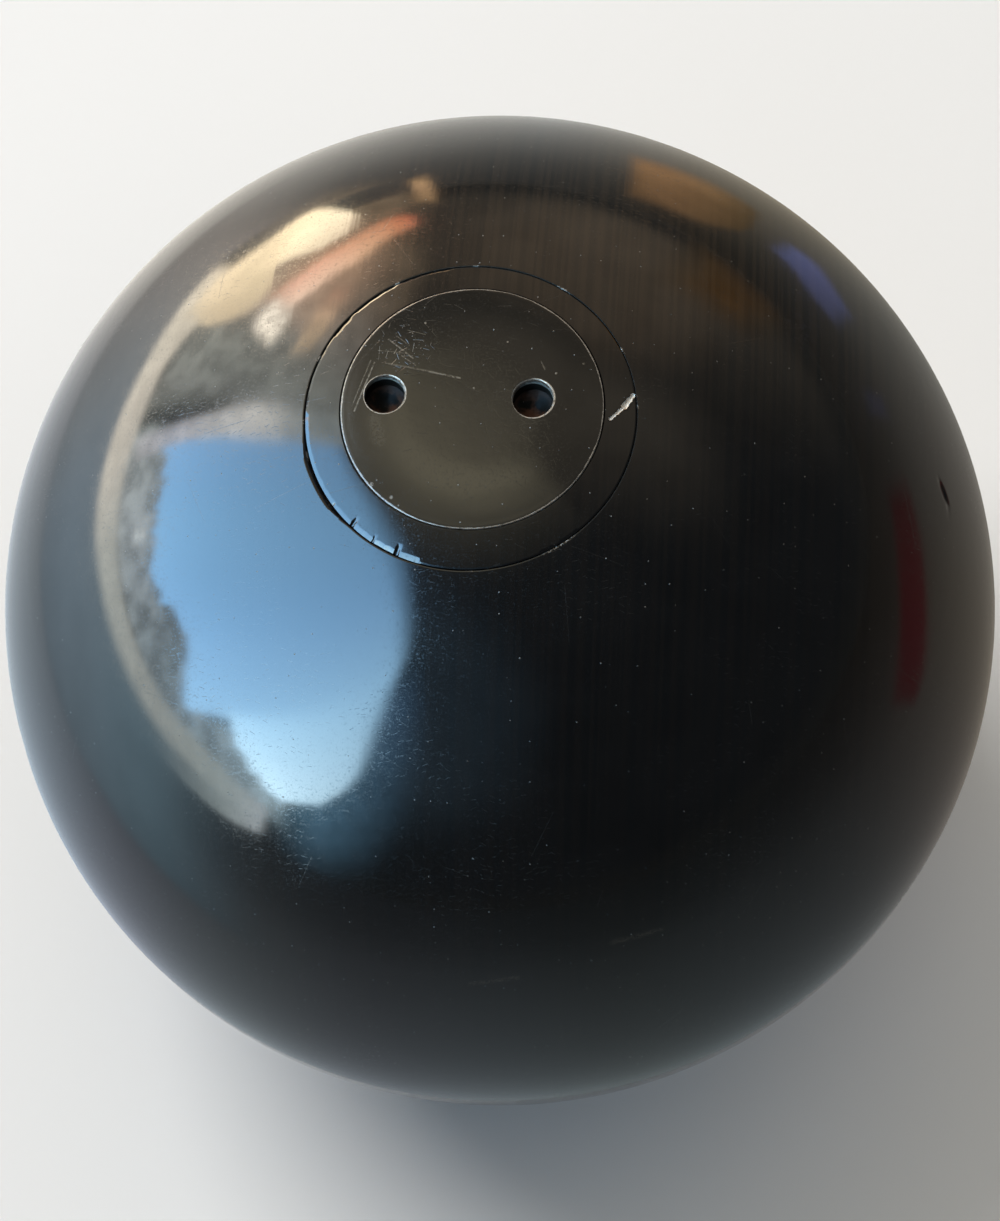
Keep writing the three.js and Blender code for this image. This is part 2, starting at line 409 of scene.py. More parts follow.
# Paint and metal. The lengths say how far things stand up or lie deep, and the film is the paint's thickness.
PAINT_IOR = 1.45
PAINT_ROUGHNESS = 0.075
STEEL_TONE = (0.60, 0.55, 0.48)
WORN_METALLIC = 0.5
RAW_IRON_TONE = (0.16, 0.15, 0.14)
RUST_TONE = (0.13, 0.045, 0.018)
DUST_TONE = (0.15, 0.145, 0.13)
# Painted sheen: a lighter brown laid along the lathe's ridges, as if they caught a reflection
RIDGE_SHEEN_TONE = (0.015, 0.011, 0.008)
# Painted shade for recesses: near black, matt and made metallic, so that they hardly reflect
RECESS_SHADE_TONE = (0.010, 0.008, 0.006)
LINE_TONE = (0.11, 0.11, 0.10)
PIT_TONE = (0.15, 0.14, 0.12)
MARK_TONE = (0.22, 0.20, 0.16)
WAVE_MM = 0.014
PEEL_MM = 0.0026
SCRATCH_MM = 0.0036
DUST_MM = 0.02
PIT_MM = 0.03
MARK_MM = 0.008
GRAIN_MM = 0.02
FILM_MM = 0.015


def scaled(tone, by):
    return tuple(channel * by for channel in tone)


def lay(g, look, mask, tone, share, roughness, height_mm=0.0):
    """Lays masked marks over a look, which is a tone, a roughness and a height in millimetres."""
    tone_below, roughness_below, height = look
    if height_mm:
        height = g.total(height, g.times(mask, height_mm))
    toned = g.times(mask, share) if share < 1 else mask
    return g.mix(toned, tone_below, tone), g.blend(mask, roughness_below, roughness), height


def paint(
        name, tone, bare, inside, rust=None, marks=None, pits=None, dull=None, lathe_mm=0.0,
        scratch_cell=1.9):
    """Thin glossy paint over turned iron. The functions take a graph and the place in millimetres, and give
    masks: bare is bright worn metal, inside raw metal that was never painted, dull recesses laid in painted
    shade.
    Bare also takes a ragged noise, and pits the flat coordinates over the ball."""
    g = material_graph(name)
    place = g.place()
    skin = g.attribute("skin", "Vector")
    ragged = g.noise(place, 0.35, detail=4.0, roughness=0.65)
    cloudy = g.noise(place, 14.0, detail=4.0, roughness=0.6)

    short_lines = hairlines(g, skin, scratch_cell, scratch_cell * 0.95, 0.035, 0.6, swing=1.1)
    long_lines = hairlines(g, g.vector("ADD", skin, (31.0, 17.0, 0.0)), 7.0, 7.5, 0.04, 0.45)
    lines = g.times(g.most(short_lines, long_lines), g.step(cloudy, 0.40, 0.62, 0.15, 1.0))
    dust = specks(g, skin, 2.2, 0.07, 0.34)
    haze = g.step(g.noise(place, 0.22, detail=3.0), 0.54, 0.70)

    height = g.total(
        g.times(g.noise(place, 9.0, detail=1.0), WAVE_MM), g.times(g.noise(place, 1.6), PEEL_MM),
        g.times(lines, -SCRATCH_MM), g.times(dust, DUST_MM))
    tone_here = g.mix(g.step(cloudy, 0.3, 0.75), scaled(tone, 0.75), scaled(tone, 1.35))
    tone_here = g.mix(g.times(lines, 0.09), tone_here, LINE_TONE)
    roughness = g.step(cloudy, 0.35, 0.75, PAINT_ROUGHNESS, PAINT_ROUGHNESS + 0.045)
    roughness = g.total(roughness, g.times(haze, 0.16), g.times(lines, 0.16))
    if lathe_mm:
        x, y, _ = g.split(place)
        tool = g.noise(x, 0.8, kind="1D")
        # The tool marks grow deeper towards +Y, and so does the painted sheen laid along their ridges
        depth_and_sheen = g.step(y, 2.0, 20.0, 0.25, 1.0)
        height = g.total(height, g.times(tool, depth_and_sheen, lathe_mm))
        tone_here = g.mix(g.times(g.step(tool, 0.40, 0.60, 0.0, 0.5), depth_and_sheen), tone_here, RIDGE_SHEEN_TONE)

    look = (tone_here, roughness, height)
    if dull:
        dulled = dull(g, place)
        # Painted shade: the dull recesses are laid near black and matt
        look = lay(g, look, dulled, RECESS_SHADE_TONE, 1.0, 0.75)
    if pits:
        look = lay(g, look, pits(g, place, skin), PIT_TONE, 0.35, 0.5, -PIT_MM)
    if marks:
        marked = g.times(marks(g, place), g.step(ragged, 0.36, 0.56, 0.1, 1.0))
        look = lay(g, look, marked, MARK_TONE, 0.6, 0.42, -MARK_MM)
    tone_here, roughness, height = lay(g, look, dust, DUST_TONE, 0.8, 0.7)

    worn, raw = bare(g, place, ragged), inside(g, place)
    rusty = rust(g, place) if rust else 0.0
    metal = g.most(worn, raw)
    grain = g.noise(g.vector("MULTIPLY", place, (1.0, 1.0, 6.0)), 0.5, detail=5.0, roughness=0.65)
    steel = g.mix(grain, scaled(STEEL_TONE, 0.7), STEEL_TONE)
    iron = g.mix(grain, scaled(RAW_IRON_TONE, 0.6), scaled(RAW_IRON_TONE, 1.6))
    color = g.mix(worn, g.mix(raw, tone_here, iron), steel)
    color = g.mix(rusty, color, g.mix(grain, scaled(RUST_TONE, 0.5), scaled(RUST_TONE, 1.7)))
    roughness = g.blend(metal, roughness, g.step(grain, 0.3, 0.7, 0.42, 0.62))
    roughness = g.blend(rusty, roughness, 0.85)
    shiny = g.most(g.times(worn, WORN_METALLIC), g.times(raw, 0.85))
    # The recesses' painted shade also takes their gloss away: metallic on a near black colour
    if dull:
        shiny = g.most(shiny, g.times(dulled, 0.9))
    metallic = g.times(shiny, g.math("SUBTRACT", 1.0, rusty))
    grained = g.times(grain, g.most(metal, rusty), GRAIN_MM)
    normal = g.bump(g.total(height, grained, g.times(metal, -FILM_MM)))
    return g.surface(
        color, roughness, normal, metallic,
        IOR=PAINT_IOR, Coat_Weight=0.07, Coat_Roughness=0.32, Coat_IOR=1.4)


# The ball

# Dents: angle and elevation of the middle, length, width and depth in mm, and how the length lies from level
RIM_DENT = (4.8, 31.2, 3.4, 1.1, 0.22, 38)
SHALLOW_DENTS = (
    (38, -12, 5.0, 4.0, 0.05, 20),
    (96, 22, 4.4, 3.4, 0.05, 65),
    (151, -31, 6.0, 4.6, 0.07, 10),
    (-158, 8, 4.6, 4.2, 0.05, 80),
    (-71, -38, 5.2, 3.8, 0.06, 35),
    (-24, -58, 6.4, 5.0, 0.08, 50),
)
# Where the mouth is rounded off furthest, at the lower left: angle, and half the length
MOUTH_WEAR = (-152, 8)


def sphere_z(radius):
    """The height of the ball's upper surface at a distance from its axis."""
    return np.sqrt(BALL_R**2 - np.asarray(radius) ** 2)


def mouth_lip(angles):
    """The width of the rounding round the mouth, which is wider on the left."""
    degrees = np.degrees(angles)
    middle, half = MOUTH_WEAR
    worn = window(degrees, middle - half, middle + half, 14)
    return 0.035 + 0.11 * (0.5 - 0.5 * np.cos(angles)) + 0.38 * worn + 0.015 * wander(degrees, 7, 3)


def dent(points, mark):
    """The ball's points, pushed in where a dent is."""
    angle, elevation, length, width, depth, tilt = mark
    a, e, t = (math.radians(v) for v in (angle, elevation, tilt))
    out = np.array((math.cos(e) * math.cos(a), math.cos(e) * math.sin(a), math.sin(e)))
    level = np.array((-math.sin(a), math.cos(a), 0.0))
    rise = np.cross(out, level)
    along = math.cos(t) * level + math.sin(t) * rise
    across = np.cross(out, along)
    off = points - out * BALL_R
    far = ((off @ along) / (length / 2)) ** 2 + ((off @ across) / (width / 2)) ** 2
    outside = points @ out > BALL_R * 0.8
    sunk = np.where(outside, depth * np.exp(-1.6 * far**1.5), 0.0)
    return points * (1 - sunk / BALL_R)[:, None]


def build_shell():
    angles = column_angles(1.15, (-146, 34, 0.6), (RIM_DENT[0], 2.2, 0.16))
    lip = mouth_lip(angles)
    rim = MOUTH_R + lip
    top = 68.0
    elevations = [*spaced(-90, 29.4, 1.5), *spaced(29.5, 33.0, 0.16), *spaced(34.2, top, 1.5)]
    rows = turned(angles, on_sphere(BALL_R, np.radians(elevations)))
    start = BALL_R * math.cos(math.radians(top))
    radii = [start + (rim - start) * t for t in (0.2, 0.4, 0.55, 0.7, 0.8, 0.88, 0.94, 0.98, 1.0)]
    rows += turned(angles, [(radius, sphere_z(radius)) for radius in radii])
    for turn in np.radians((15, 30, 45, 60, 75, 90)):
        drop = lip * (0.9 * (1 - math.cos(turn)) + 0.3 * math.sin(turn))
        rows.append(ring(angles, rim - lip * math.sin(turn), sphere_z(rim) - drop))
    rows += turned(angles, [
        (MOUTH_R, 56.0), (MOUTH_R, FLANGE_Z - FIT + 0.3), (MOUTH_R - 0.3, FLANGE_Z - FIT),
        (SHANK_BORE_R + 0.3, FLANGE_Z - FIT), (SHANK_BORE_R, FLANGE_Z - FIT - 0.3),
        (SHANK_BORE_R, COLLAR_LOW[2] - FIT + 0.3), (SHANK_BORE_R - 0.3, COLLAR_LOW[2] - FIT),
        (NECK_R + 0.4, COLLAR_LOW[2] - FIT), (NECK_R, COLLAR_LOW[2] - FIT - 0.4)])
    rows += turned(angles, on_sphere(CAVITY_R, np.linspace(math.acos(NECK_R / CAVITY_R), -math.pi / 2, 36)))
    shell = grid_object("ball_shell", rows)
    points = positions(shell)
    for mark in (RIM_DENT, *SHALLOW_DENTS):
        points = dent(points, mark)
    move_points(shell, points)
    add_skin(shell)
    return shell


# Faint pale scuffs: both ends, width
BALL_SCUFFS = (
    ((16.4, -48.6, 31.2), (21.4, -46.9, 30.8), 0.35),
    ((1.4, -53.0, 28.1), (6.4, -52.3, 28.8), 0.30),
    ((-44.0, 22.0, 34.2), (-40.5, 26.0, 34.6), 0.30),
    ((30.0, 45.0, -25.9), (34.0, 42.6, -24.6), 0.40),
)


def ball_marks(g, place):
    return g.most(*(
        g.times(g.fall(g.line_distance(place, start, end), width * 0.2, width * 1.8), 0.12)
        for start, end, width in BALL_SCUFFS))


# Where the mouth's edge is worn through, low on the right, and how far along it the wear reaches
MOUTH_SCUFF = ((9.9, -14.1, 56.0), 2.6)


def ball_bare(g, place, ragged):
    """Thin wear on the mouth's edge, most of it at one scuff."""
    near = g.fall(g.vector("LENGTH", g.flat(place)), MOUTH_R + 0.10, MOUTH_R + 0.24)
    up = g.step(g.split(place)[2], 50.0, 50.5)
    centre, reach = MOUTH_SCUFF
    scuffed = g.fall(g.distance(place, centre), reach * 0.6, reach)
    broken = g.step(g.noise(place, 2.2, detail=3.0), 0.58, 0.66)
    where = g.most(g.times(scuffed, 0.7), g.times(broken, 0.5))
    return g.times(near, up, where, g.step(ragged, 0.45, 0.60))


def ball_inside(g, place):
    return g.fall(g.vector("LENGTH", place), BALL_R - 2.2, BALL_R - 1.4)


def ball_dull(g, place):
    """Painted shade in the groove round the collar: near black and matt."""
    groove = g.fall(g.vector("LENGTH", g.flat(place)), MOUTH_R + 0.06, MOUTH_R + 0.10)
    return g.times(groove, g.step(g.split(place)[2], 40.0, 41.0))


# The collar

# Where the edge is worn to a wider slope: angles from and to, width of the slope, and its fall for that width
COLLAR_CHIPS = (
    (-131.0, -122.9, 0.48, 0.40),
    (-121.5, -113.5, 0.46, 0.50),
    (-112.0, -104.5, 0.46, 0.32),
    (-178.0, -133.0, 0.36, 0.36),
    (-62.0, -57.0, 0.26, 0.40),
    (-54.0, -47.0, 0.28, 0.40),
    (100.0, 118.0, 0.26, 0.40),
    (121.0, 138.0, 0.30, 0.40),
    (141.0, 150.0, 0.34, 0.40),
    (155.0, 180.0, 0.20, 0.40),
)
# Notches cut in from the edge: angle, width, reach inwards, depth
COLLAR_NOTCHES = (
    (-131.7, 0.40, 0.9, 0.28),
    (-122.2, 0.28, 0.6, 0.22),
    (-112.7, 0.46, 0.9, 0.30),
    (-142.0, 0.20, 0.35, 0.12),
)
# The gash across the collar's face: start, end, width at each, depth
COLLAR_GASH = (
    ((14.45, -0.35), (15.95, 1.40), 0.26, 0.34, 0.12),
    ((15.85, 1.35), (16.70, 2.75), 0.62, 0.40, 0.17),
)


def collar_bevel(angles):
    """The width of the slope round the collar's edge, and how far it falls."""
    degrees = np.degrees(angles)
    bevel, fall = np.full(angles.shape, 0.12), np.full(angles.shape, 0.05)
    for first, last, width, steep in COLLAR_CHIPS:
        ragged = 1 + 0.12 * wander(degrees, 2.1, 11) + 0.05 * wander(degrees, 0.8, 12)
        here = width * ragged * window(degrees, first, last, 0.8)
        fall = np.where(here > bevel, steep * here, fall)
        bevel = np.maximum(bevel, here)
    return bevel, fall


def notch_depth(points):
    degrees = np.degrees(np.arctan2(points[:, 1], points[:, 0]))
    inwards = COLLAR_R - np.hypot(points[:, 0], points[:, 1])
    sunk = np.zeros(len(points))
    for angle, width, reach, depth in COLLAR_NOTCHES:
        aside = np.abs(np.radians(degrees - angle)) * COLLAR_R / (width / 2)
        sunk = np.maximum(sunk, depth * np.clip(1.3 - aside, 0, 1) * np.clip(1.2 - inwards / reach, 0, 1))
    return sunk


def gash_depth(points):
    """How deep the gash is at each point, with the metal thrown up along its sides counted as negative."""
    sunk, burr = np.zeros(len(points)), np.zeros(len(points))
    for start, end, first, last, depth in COLLAR_GASH:
        away, along = from_segment(points[:, :2], start, end)
        half = (first + (last - first) * along) / 2 * (1 + 0.15 * wander(along * 3, 0.35, 21))
        sunk = np.maximum(sunk, depth * np.clip(1 - (away / half) ** 2, 0, 1))
        burr = np.maximum(burr, 0.035 * window(away, half, half * 1.25, 0.08))
    return np.where(sunk > 0, sunk, -burr)


def build_collar():
    angles = column_angles(1.0, (-127, 26, 0.24), (3.5, 9, 0.24), (-56, 14, 0.5))
    bevel, fall = collar_bevel(angles)
    bottom, seat = COLLAR_LOW[2], COLLAR_SEAT_Z
    edge_z = sphere_z(COLLAR_R)
    lip = 0.09

    def on_ball(row, drop=0.0):
        row[:, 2] = sphere_z(np.hypot(row[:, 0], row[:, 1])) - drop
        return row

    rows = turned(angles, [
        (BORE_MOUTH_R + 0.5, bottom), (SHANK_R - 1.0, bottom), (SHANK_R, bottom + 1.0),
        (SHANK_R, FLANGE_Z - 0.25), (SHANK_R + 0.25, FLANGE_Z), (COLLAR_R - 0.3, FLANGE_Z),
        (COLLAR_R, FLANGE_Z + 0.3), (COLLAR_R, edge_z - 2.0), (COLLAR_R, edge_z - 1.0)])
    for t in (1.0, 0.93, 0.7, 0.4, 0.1, 0.0):
        rows.append(on_ball(ring(angles, COLLAR_R - bevel * (1 - t), 0.0), fall * t * (0.85 + 0.15 * t)))
    outer = ring(angles, COLLAR_R - bevel, 0.0)
    inner = ring(angles, HEAD_POCKET_R + lip, 0.0, PLUG_AXIS)
    for t in (0.01, *np.linspace(0, 1, 31)[1:]):
        rows.append(on_ball(outer * (1 - t) + inner * t))
    inner_z = on_ball(ring(angles, HEAD_POCKET_R, 0.0, PLUG_AXIS))[:, 2]
    rows += turned(angles, [
        *[(HEAD_POCKET_R + lip * (1 - math.sin(turn)), inner_z - lip * (1 - math.cos(turn)))
          for turn in np.radians((30, 60, 90))],
        (HEAD_POCKET_R, inner_z - 1.0), (HEAD_POCKET_R, seat + 0.25), (HEAD_POCKET_R - 0.25, seat),
        (BORE_MOUTH_R + 0.1, seat), (BORE_MOUTH_R, seat - 0.05)], PLUG_AXIS)

    def limit(height, radius):
        top = BORE_MOUTH_R - (seat - 0.05 - height)
        low = BORE_MOUTH_R - (height - bottom - 0.05)
        return np.maximum(radius, np.maximum(top, low))

    thread, per_turn = thread_rows(angles, bottom + 0.05, seat - 0.05, FEMALE, limit)
    first = len(rows)
    rows += thread[::-1]
    seam = np.arange(len(rows) + 1)
    seam[first:-1] = np.maximum(seam[first:-1] - per_turn, first)
    rows.append(ring(angles, BORE_MOUTH_R + 0.1, bottom, PLUG_AXIS))
    collar = grid_object("port_collar", rows, wrap=True, seam=seam, sharp=38)

    points = positions(collar)
    face = points[:, 2] > edge_z - 0.9
    gash = gash_depth(points)
    points[:, 2] -= np.where(face, notch_depth(points) + gash, 0.0)
    move_points(collar, points)
    add_skin(collar)
    add_values(collar, "bare", face * (gash > 0.01))
    return collar


def collar_bare(g, place, ragged):
    """The gash, which the mesh marks."""
    return g.step(g.total(g.attribute("bare"), g.math("MULTIPLY_ADD", ragged, 0.3, -0.15)), 0.45, 0.55)


def collar_inside(g, place):
    return g.fall(g.split(place)[2], 56.6, 57.1)


def bore_rust(g, place):
    spots = g.step(g.noise(place, 3.0, detail=5.0, roughness=0.7), 0.52, 0.66)
    return g.times(g.fall(g.split(place)[2], 56.8, 57.1), spots)


# The plug

# Scratches on the plug's face, about the plug's axis: start, end, width, strength
PLUG_SCRATCHES = (
    ((-9.2, 4.5), (-5.2, 3.75), 0.14, 0.45),
    ((-5.2, 3.75), (-1.4, 3.0), 0.15, 0.75),
    ((-10.4, 4.6), (-12.1, -0.95), 0.12, 0.65),
    ((-10.8, 4.9), (-12.4, -0.4), 0.09, 0.4),
    ((-9.1, 7.3), (-6.4, 5.1), 0.13, 0.6),
    ((-8.3, 7.7), (-6.9, 6.6), 0.09, 0.4),
    ((-7.9, 5.6), (-6.1, 4.3), 0.10, 0.45),
    ((-10.1, 6.0), (-7.4, 5.7), 0.09, 0.35),
    ((-7.2, 8.4), (-5.3, 7.9), 0.08, 0.3),
    ((6.9, 5.2), (7.3, 4.3), 0.10, 0.5),
)
# Bright specks on the face: centre, radius
PLUG_SPECKS = (
    ((8.5, 3.9), 0.16),
    ((11.3, 5.2), 0.18),
    ((3.3, 7.3), 0.14),
    ((0.1, 1.9), 0.16),
    ((-5.4, 9.3), 0.16),
    ((-9.7, -9.0), 0.28),
    ((-7.6, -10.4), 0.24),
)
# A smudge from end to end and its width, and the middle and radius of the pitted part
SMUDGE = ((-9.9, -1.9), (-9.2, -4.2), 1.1)
PITTED = ((-7.3, 6.4), 4.0)


def face_sink(radius):
    """How far the face lies below its flat land at a distance from the plug's axis."""
    return (LAND_Z - HEAD_SIDE_Z) * (max(0.0, radius - LAND_R) / (PLUG_HEAD_R - HEAD_EDGE - LAND_R)) ** 2.5


def head_rows(angles):
    """The head from its underside to the middle of its face."""
    side, rim = PLUG_HEAD_R, PLUG_HEAD_R - HEAD_EDGE
    corner = fillet((side, HEAD_SIDE_Z - HEAD_EDGE), (side, HEAD_SIDE_Z), (rim, HEAD_SIDE_Z + 0.02), 6)
    return turned(angles, [
        (RELIEF_R + 0.2, HEAD_UNDER_Z), (side - 0.3, HEAD_UNDER_Z), (side, HEAD_UNDER_Z + 0.3),
        *[(side, z) for z in (55.5, 57.0, HEAD_SIDE_Z - 0.6, HEAD_SIDE_Z - 0.25)], *corner,
        *[(radius, LAND_Z - face_sink(radius)) for radius in np.linspace(rim, LAND_R, 22)[1:]],
        *[(radius, LAND_Z) for radius in (5.0, 4.0, 2.5, 1.2, 0.0)]], PLUG_AXIS)


def hole_cutter(centre):
    """A drill that cuts one spanner hole, with its point and its countersink."""
    floor_z, point = HOLE_FLOOR_Z, HOLE_R / math.tan(DRILL_POINT_ANGLE / 2)
    rim_z = LAND_Z - face_sink(math.hypot(*centre)) - HOLE_COUNTERSINK
    return grid_object("hole_cutter", turned(column_angles(3.75), [
        (0.0, floor_z), (HOLE_R * 0.5, floor_z + point / 2), (HOLE_R, floor_z + point),
        *[(HOLE_R, z) for z in np.linspace(floor_z + point + 0.2, rim_z - 0.12, 6)],
        *fillet((HOLE_R, rim_z - 0.1), (HOLE_R, rim_z), (HOLE_R + 0.1, rim_z + 0.1), 4),
        (HOLE_R + 1.6, rim_z + 1.6), (0.0, rim_z + 1.6)], PLUG_AXIS + np.array(centre)))


def cut(target, cutters):
    """Cuts the cutters out of the target, and removes them."""
    for cutter in cutters:
        boolean = target.modifiers.new("hole", "BOOLEAN")
        boolean.operation, boolean.solver, boolean.object = "DIFFERENCE", "EXACT", cutter
    bpy.context.view_layer.update()
    evaluated = target.evaluated_get(bpy.context.evaluated_depsgraph_get())
    mesh = bpy.data.meshes.new_from_object(evaluated)
    target.modifiers.clear()
    spare, target.data = target.data, mesh
    mesh.name = target.name
    bpy.data.meshes.remove(spare)
    for cutter in cutters:
        bpy.data.objects.remove(cutter)
    smooth(mesh, 30)


def build_plug():
    angles = column_angles(1.25)
    tip = PLUG_LOW[2]

    def limit(height, radius):
        return np.minimum(radius, np.minimum(TIP_R + height - tip, RELIEF_R + RELIEF_Z - height))

    thread, per_turn = thread_rows(angles, tip, RELIEF_Z, MALE, limit)
    rows = turned(angles, [(0.0, tip), (4.0, tip), (TIP_R - 0.2, tip)], PLUG_AXIS)
    first = len(rows)
    rows += thread
    last = len(rows) - 1
    rows += turned(angles, [(RELIEF_R, RELIEF_Z + 0.4), (RELIEF_R, HEAD_UNDER_Z - 0.2)], PLUG_AXIS)
    rows += head_rows(angles)
    seam = np.arange(len(rows))
    seam[first:last + 1] = np.minimum(seam[first:last + 1] + per_turn, last)
    plug = grid_object("screw_plug", rows, seam=seam, sharp=30)
    cut(plug, [hole_cutter(centre) for centre in HOLE_CENTRES])
    add_skin(plug)
    return plug


def on_face(g, place):
    """Where a point lies on the plug's face, about the plug's axis."""
    return g.flat(g.vector("SUBTRACT", place, (*PLUG_AXIS, 0.0)))


def plug_marks(g, place):
    flat = on_face(g, place)
    scratches = [
        g.times(g.fall(g.line_distance(flat, start, end), width * 0.25, width), strength)
        for start, end, width, strength in PLUG_SCRATCHES]
    spots = [g.fall(g.distance(flat, centre), radius * 0.4, radius) for centre, radius in PLUG_SPECKS]
    start, end, width = SMUDGE
    smudge = g.times(g.fall(g.line_distance(flat, start, end), 0.1, width), 0.12)
    return g.times(g.most(*scratches, *spots, smudge), g.step(g.split(place)[2], 57.9, 58.1))


def plug_pits(g, place, skin):
    centre, radius = PITTED
    zone = g.step(g.distance(on_face(g, place), centre), radius * 0.3, radius, 0.8, 0.03)
    return g.times(g.most(specks(g, skin, 0.5, 0.06, 0.5), hairlines(g, skin, 0.9, 1.3, 0.055, 0.8)), zone)


def plug_bare(g, place, ragged):
    """Worn rims: the head's edge, and the countersinks of the two holes."""
    flat = on_face(g, place)
    uneven = g.noise(place, 2.6, detail=3.0)
    leaning = g.step(g.split(flat)[0], -10.0, 9.0, 0.05, 0.0)
    reach = g.total(g.vector("LENGTH", flat), g.step(uneven, 0.35, 0.65, 0.11, 0.17), leaning)
    edge = g.times(g.step(reach, PLUG_HEAD_R, PLUG_HEAD_R + 0.05), g.step(ragged, 0.30, 0.52, 0.08, 0.45))
    rims = []
    for x, y in HOLE_CENTRES:
        shifted = g.distance(flat, (x + 0.07, y - 0.03))
        outside = g.fall(g.math("MULTIPLY_ADD", uneven, -0.16, shifted), HOLE_R + 0.06, HOLE_R + 0.12)
        rims.append(g.times(outside, g.step(g.distance(flat, (x, y)), HOLE_R - 0.04, HOLE_R + 0.02)))
    rims = g.times(g.most(*rims), g.step(ragged, 0.30, 0.48, 0.1, 0.6))
    return g.times(g.most(edge, rims), g.step(g.split(place)[2], 57.9, 58.0))


def in_holes(g, place):
    flat = on_face(g, place)
    return g.most(*(
        g.fall(g.distance(flat, centre), HOLE_R + 0.02, HOLE_R + 0.10) for centre in HOLE_CENTRES))


def plug_dull(g, place):
    """Painted shade down inside the holes: near black and matt."""
    return g.times(in_holes(g, place), g.fall(g.split(place)[2], 58.35, 58.65))


def plug_inside(g, place):
    """The shank and the head's side. The holes are painted inside."""
    z = g.split(place)[2]
    holes = g.times(in_holes(g, place), g.step(z, HOLE_FLOOR_Z - 0.4, HOLE_FLOOR_Z - 0.2))
    return g.times(g.fall(z, 57.6, 58.0), g.math("SUBTRACT", 1.0, holes))


def plug_rust(g, place):
    """Rust in the bottom of the holes, and in spots on the shank."""
    z = g.split(place)[2]
    patches = g.step(g.noise(place, 1.4, detail=4.0), 0.44, 0.60, 0.0, 0.4)
    spots = g.step(g.noise(place, 2.4, detail=5.0, roughness=0.7), 0.54, 0.66)
    in_bottoms = g.times(in_holes(g, place), g.fall(z, 55.6, 57.0), patches)
    return g.most(in_bottoms, g.times(spots, g.fall(z, 54.0, 54.3)))


# What lies under the plug


def build_seal():
    inner, outer = SEAL_BORE_R, (SEAL_HIGH - SEAL_LOW)[0] / 2
    low, high, r = SEAL_LOW[2], SEAL_HIGH[2], 0.3
    across = np.linspace(inner + 0.6, outer - 0.6, 5)
    seal = grid_object("fibre_seal_ring", turned(column_angles(2.0), [
        *fillet((inner, low + r), (inner, low), (inner + r, low), 5), *[(x, low) for x in across],
        *fillet((outer - r, low), (outer, low), (outer, low + r), 5),
        *fillet((outer, high - r), (outer, high), (outer - r, high), 5), *[(x, high) for x in across[::-1]],
        *fillet((inner + r, high), (inner, high), (inner, high - r), 5)], PLUG_AXIS), wrap=True)
    points = positions(seal)
    turn = np.arctan2(points[:, 1] - PLUG_AXIS[1], points[:, 0] - PLUG_AXIS[0])
    thin = 0.03 * (1 + wander(np.degrees(turn) + 180, 14, 31))
    points[:, 2] -= np.sign(points[:, 2] - (low + high) / 2) * thin
    move_points(seal, points)
    return seal


def round_piece(name, radius, low, high, round_by, swell=0.0):
    """A flat round piece with rounded edges. Swell is how far the middles of its faces bulge out."""
    inner = np.linspace(0, radius - round_by, 12)[:-1]
    bulge = swell * (1 - (inner / radius) ** 2)
    return grid_object(name, turned(column_angles(2.25), [
        *zip(inner, low - bulge),
        *fillet((radius - round_by, low), (radius, low), (radius, low + round_by), 6),
        *fillet((radius, high - round_by), (radius, high), (radius - round_by, high), 6),
        *zip(inner[::-1], high + bulge[::-1])]))


def roughened(made, size, depth, seed):
    """Sinks each point a little towards the piece's middle by smooth noise, so that nothing grows."""
    points = positions(made)
    middle = points.mean(0)
    phases = np.random.default_rng(seed).uniform(0, TURN, (3, 3))[:, 0]
    waves = sum(
        np.sin(points @ np.roll((1.0, 0.63, 0.41), turn) * TURN / size * scale + phase) / scale
        for turn, (scale, phase) in enumerate(zip((1.0, 1.7, 2.9), phases)))
    inwards = middle - points
    inwards /= np.maximum(np.linalg.norm(inwards, axis=1, keepdims=True), 1e-6)
    share = np.clip(waves / 2 + 0.5, 0, 1)
    move_points(made, points + inwards * (depth * share)[:, None])


def build_pad():
    pad = round_piece("felt_pad", PAD_HIGH[0], PAD_LOW[2] + 0.1, PAD_HIGH[2] - 0.1, 0.7, 0.08)
    roughened(pad, 1.3, 0.10, 5)
    return pad


def build_trim_disc(number):
    low, high = box_mm(f"trim_disc_{number}")
    disc = round_piece(f"lead_disc_{number}", high[0], low[2], high[2], 0.25)
    roughened(disc, 3.1, 0.06, 40 + number)
    return disc


def build_core():
    radius, top, stub = CORE_HIGH[0], CORE_HIGH[2], NECK_R - FIT
    core = grid_object("cast_lead_core", turned(column_angles(2.25), [
        *on_sphere(radius, np.linspace(-math.pi / 2, math.acos(stub / radius), 60)),
        *fillet((stub, top - 0.35), (stub, top), (stub - 0.5, top), 5),
        *[(r, top - 0.25 * math.cos(r / stub * math.pi / 2)) for r in np.linspace(stub - 1.0, 0, 8)]]))
    roughened(core, 9.0, 0.12, 8)
    return core


def fibre_material():
    g = material_graph("red_fibre")
    place = g.place()
    flecks = g.noise(g.vector("MULTIPLY", place, (1.0, 1.0, 5.0)), 0.5, detail=5.0, roughness=0.7)
    color = g.mix(g.step(flecks, 0.3, 0.7), (0.17, 0.035, 0.022), (0.36, 0.10, 0.06))
    stain = g.step(g.noise(place, 3.5, detail=3.0), 0.5, 0.7, 0.0, 0.6)
    color = g.mix(stain, color, (0.06, 0.03, 0.022))
    return g.surface(color, g.step(flecks, 0.3, 0.7, 0.75, 0.6), g.bump(g.times(flecks, 0.05)))


